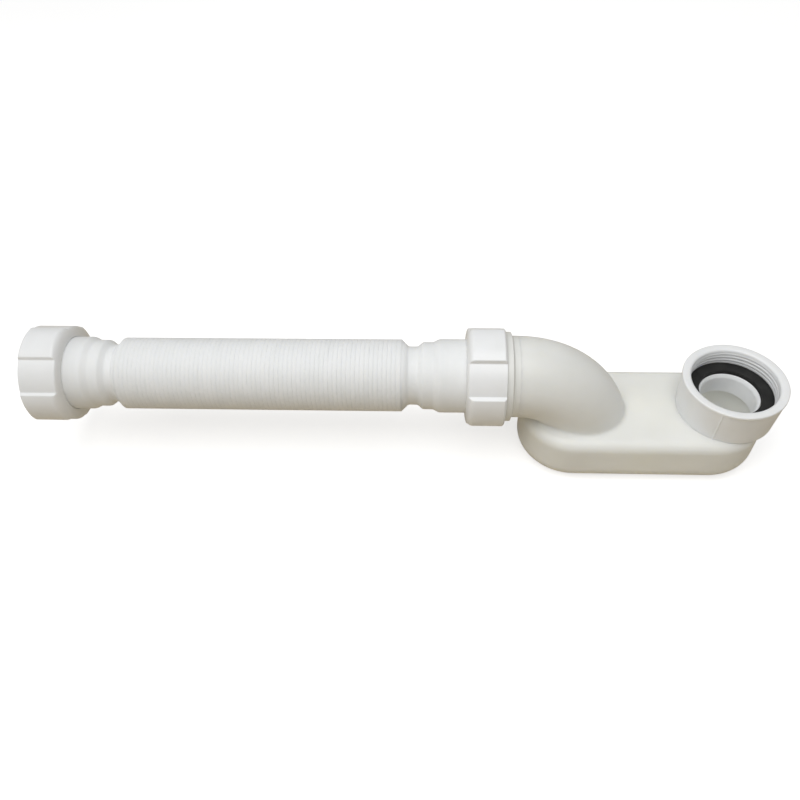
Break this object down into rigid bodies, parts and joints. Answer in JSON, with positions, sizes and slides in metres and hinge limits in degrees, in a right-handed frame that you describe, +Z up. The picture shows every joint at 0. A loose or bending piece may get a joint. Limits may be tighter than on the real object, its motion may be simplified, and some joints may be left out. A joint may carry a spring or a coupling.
{
  "type": "low-profile waste trap with extending hose",
  "caption": "White low-profile waste trap: an oblong chamber with a threaded inlet cup, an elbow, and an extending pleated hose between union nuts.",
  "frame": {"origin": "centre of the inlet mouth, at the top of the socket rim", "axes": "+Z up out of the inlet along its thread, +X along the object away from the hose, +Y to the far side"},
  "size_m": [0.4281, 0.063, 0.0854],
  "materials": {
    "blown_body": "satin milky white",
    "moulded_white": "satin cool white",
    "hose_white": "matt cool white",
    "black_rubber": "matt black"
  },
  "bodies": {
    "trap": {"trap_body": "blown_body", "inlet_socket": "moulded_white", "inlet_washer": "black_rubber", "union_washer": "black_rubber"},
    "union_nut": {"union_nut": "moulded_white"},
    "hose_run": {"hose": "hose_white"},
    "outlet_end": {"outlet_washer": "black_rubber"},
    "outlet_nut": {"outlet_nut": "moulded_white"}
  },
  "joints": [
    {"name": "union_nut_turn", "type": "hinge", "parent": "trap", "child": "union_nut", "pos_m": [-0.1415, 0, 0.001], "axis": [1, 0, 0], "continuous": true},
    {"name": "hose_bend", "type": "hinge", "parent": "trap", "child": "hose_run", "pos_m": [-0.2246, 0, 0.001], "axis": [0, 0, 1], "range_deg": [-40, 40], "deforming": ["hose"]},
    {"name": "hose_extend", "type": "slide", "parent": "hose_run", "child": "outlet_end", "axis": [-1, 0, 0], "range_m": [0, 0.1], "deforming": ["hose"]},
    {"name": "outlet_nut_turn", "type": "hinge", "parent": "outlet_end", "child": "outlet_nut", "pos_m": [-0.388, 0, 0.001], "axis": [-1, 0, 0], "continuous": true}
  ]
}
